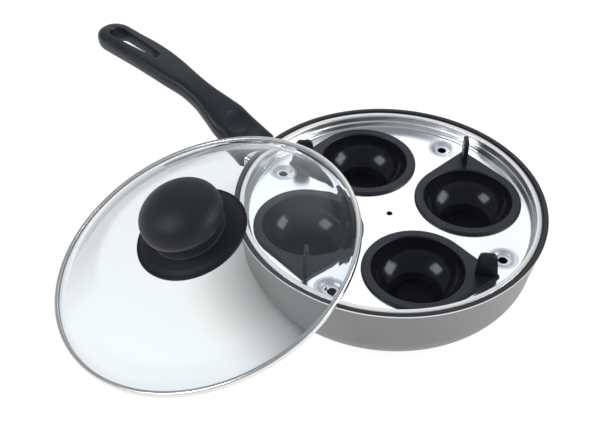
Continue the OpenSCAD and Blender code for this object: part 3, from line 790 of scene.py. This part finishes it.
def make_guard():
    """Polished sleeve between the wall and the handle, with fine rings rolled into it."""
    bm = bmesh.new()
    end = ROOT_X - 0.05
    mid_z = 35.4

    def outline(w, h, r, n=10):
        pts = []
        for sx, sy, a0 in ((1, 1, 0), (-1, 1, 90), (-1, -1, 180), (1, -1, 270)):
            for k in range(n + 1):
                q = rad(a0 + 90 * k / n)
                pts.append((sx * (w / 2 - r) + r * math.cos(q), sy * (h / 2 - r) + r * math.sin(q)))
        return pts

    def wall(z):
        return FOOT_R + (PAN_R - 0.25 - FOOT_R) * (max(z, CORNER) - CORNER) / (PAN_H - 1.7 - CORNER)

    def loop(t, pull, w, h, r):
        vs = []
        for y, z in outline(w - 2 * pull, h - 2 * pull, r - pull):
            zz = z + mid_z
            near = math.sqrt(max(wall(zz) ** 2 - y * y, 0)) + 0.05
            vs.append(bm.verts.new((-(near + (end - near) * t) * MM, y * MM, zz * MM)))
        return vs
    outer = [loop(0.0, 0.0, 29.0, 10.6, 4.4)]
    for k in range(6):
        t = 0.30 + 0.105 * k
        for d, q in ((0.0, 0.0), (0.02, 0.18), (0.045, 0.24), (0.07, 0.18), (0.09, 0.0)):
            outer.append(loop(t + d, q, 29.0, 10.6, 4.4))
    outer += [loop(0.955, 0.0, 29.0, 10.6, 4.4), loop(0.985, 0.08, 29.0, 10.6, 4.4), loop(1.0, 0.3, 29.0, 10.6, 4.4)]
    inner = [loop(t, 0.0, 27.0, 8.6, 3.4) for t in (0.0, 0.5, 1.0)]
    for a, b in zip(outer, outer[1:]):
        bridge(bm, a, b)
    for a, b in zip(inner, inner[1:]):
        bridge(bm, a, b)
    bridge(bm, outer[0], inner[0])
    bridge(bm, outer[-1], inner[-1])
    ob = to_object("guard_sleeve", bm, ["guard"], 40.0)
    return seat(ob, "pan", ["flame_guard"])


make_pan()
make_tray()
for i, label in enumerate(("right", "back", "left", "front")):
    make_cup(i, label)
DOME = make_lid()
make_handle()
make_guard()

for name, key in {
    "handle_bracket": "bracket", "bracket_rivets": "rivet", "handle_insert": "brass", "handle_screw": "fastener", "handle_washer": "fastener",
    "glass_seal_top": "rubber", "glass_seal_under": "rubber", "knob_insert": "brass", "knob_washer": "fastener", "knob_screw": "fastener",
}.items():
    o = NODES[name]
    if not o.material_slots:
        o.data.materials.append(M[key])
    for s in o.material_slots:
        s.material = M[key]


# ----------------------------------------------------------- floor, lights

def add_floor():
    bm = bmesh.new()
    bmesh.ops.create_grid(bm, x_segments=8, y_segments=8, size=4.0)
    me = bpy.data.meshes.new("floor")
    bm.to_mesh(me)
    bm.free()
    m, nt, b = new_mat("floor_pale_painted_shadow")
    co = obj_coords(nt)
    n = noise(nt, co, 3.0, 3.0, 0.5)
    pale = ramp(nt, n, [(0.3, (0.17, 0.17, 0.17)), (0.7, (0.19, 0.19, 0.19))])
    b.inputs["Roughness"].default_value = 0.9
    b.inputs["Specular IOR Level"].default_value = 0.1
    # a back-lit white table, so that shadows on it stay very faint; only under the lid, beside the pan, is a soft
    # shadow painted into its glow and its colour
    far = node(nt, "ShaderNodeVectorMath", operation="LENGTH")
    nt.links.new(co, far.inputs[0])
    painted_shadow_falloff = ramp(nt, map_range(nt, far.outputs["Value"], 0.080, 0.140, 0.0, 1.0),
                [(0.0, 0.10), (0.08, 0.17), (0.17, 0.34), (0.35, 0.50), (0.55, 0.68), (0.75, 0.88), (0.93, 0.99), (1.0, 1.0)])
    spot = node(nt, "ShaderNodeMapping", vector_type="TEXTURE")
    spot.inputs["Location"].default_value = (-0.09377, -0.06728, 0.0)
    spot.inputs["Rotation"].default_value = (0.0, 0.0, rad(-75.48))
    spot.inputs["Scale"].default_value = (0.12728, 0.09253, 1.0)
    nt.links.new(co, spot.inputs["Vector"])
    reach = node(nt, "ShaderNodeVectorMath", operation="LENGTH")
    nt.links.new(spot.outputs["Vector"], reach.inputs[0])
    shade = node(nt, "ShaderNodeMix", data_type="RGBA")
    nt.links.new(map_range(nt, reach.outputs["Value"], 0.985, 1.012, 0.0, 1.0), shade.inputs[0])
    nt.links.new(painted_shadow_falloff, shade.inputs[6])
    shade.inputs[7].default_value = (1.0, 1.0, 1.0, 1.0)
    glow_with_painted_shadow = shade.outputs[2]
    nt.links.new(glow_with_painted_shadow, b.inputs["Emission Color"])
    # the painted shadow also darkens the floor's colour
    base_with_painted_shadow = node(nt, "ShaderNodeVectorMath", operation="MULTIPLY")
    nt.links.new(pale, base_with_painted_shadow.inputs[0])
    nt.links.new(glow_with_painted_shadow, base_with_painted_shadow.inputs[1])
    nt.links.new(base_with_painted_shadow.outputs[0], b.inputs["Base Color"])
    b.inputs["Emission Strength"].default_value = 0.90
    me.materials.append(m)
    ob = bpy.data.objects.new("floor", me)
    ob.location = (0, 0, -0.0002)
    bpy.context.scene.collection.objects.link(ob)


def softbox(name, direction, dist, size_x, size_y, radiance, target=Vector((0, 0, 0.03)), color=(1, 1, 1), spare=()):
    d = (AX * direction[0] + AY * direction[1] + AZ * direction[2]).normalized()
    li = bpy.data.lights.new(name, "AREA")
    li.shape = "RECTANGLE"
    li.size, li.size_y = size_x, size_y
    li.energy = radiance * math.pi * size_x * size_y
    li.color = color
    ob = bpy.data.objects.new(name, li)
    bpy.context.scene.collection.objects.link(ob)
    ob.location = target + d * dist
    ob.rotation_mode = "QUATERNION"
    ob.rotation_quaternion = (-d).to_track_quat("-Z", "Y")
    if spare:
        # the glass takes no hard reflection of this lamp
        col = bpy.data.collections.new(name + "_spares")
        for o in spare:
            col.objects.link(o)
        ob.light_linking.receiver_collection = col
        for c in col.collection_objects:
            c.light_linking.link_state = "EXCLUDE"
    return ob


add_floor()
softbox("box_right", (0.881, -0.153, 0.450), 1.1, 0.55, 0.5, 8.0, spare=[DOME])
softbox("box_left", (-0.672, -0.275, 0.682), 1.1, 0.45, 0.42, 8.0, spare=[DOME])
softbox("box_back", (-0.02, 0.70, 0.71), 1.5, 1.4, 0.95, 0.45, spare=[DOME])


def add_world():
    """Pale low down, dimmer above, with one broad bright side at the back."""
    w = bpy.data.worlds.new("studio")
    bpy.context.scene.world = w
    w.use_nodes = True
    wn = w.node_tree
    bg = next(n for n in wn.nodes if n.type == "BACKGROUND")
    co = node(wn, "ShaderNodeTexCoord").outputs["Generated"]
    sep = node(wn, "ShaderNodeSeparateXYZ")
    wn.links.new(co, sep.inputs[0])
    low = ramp(wn, sep.outputs[2], [(0.0, (0.89, 0.90, 0.92)), (0.18, (0.60, 0.62, 0.65)), (0.45, (0.345, 0.36, 0.385)), (1.0, (0.283, 0.30, 0.328))])
    lobe = node(wn, "ShaderNodeVectorMath", operation="DOT_PRODUCT")
    wn.links.new(co, lobe.inputs[0])
    lobe.inputs[1].default_value = (AY * 0.74 + AZ * 0.67).normalized()
    part = ramp(wn, lobe.outputs["Value"], [(0.925, 0.0), (0.95, 0.06), (0.966, 0.22), (0.982, 0.50), (0.996, 0.66)])
    mix = node(wn, "ShaderNodeVectorMath", operation="ADD")
    wn.links.new(low, mix.inputs[0])
    wn.links.new(part, mix.inputs[1])
    wn.links.new(mix.outputs[0], bg.inputs["Color"])
    bg.inputs["Strength"].default_value = 1.0


add_world()

sc = bpy.context.scene
sc.view_settings.view_transform = "Standard"
sc.view_settings.look = "None"
sc.view_settings.exposure = 0.0
sc.view_settings.gamma = 1.0
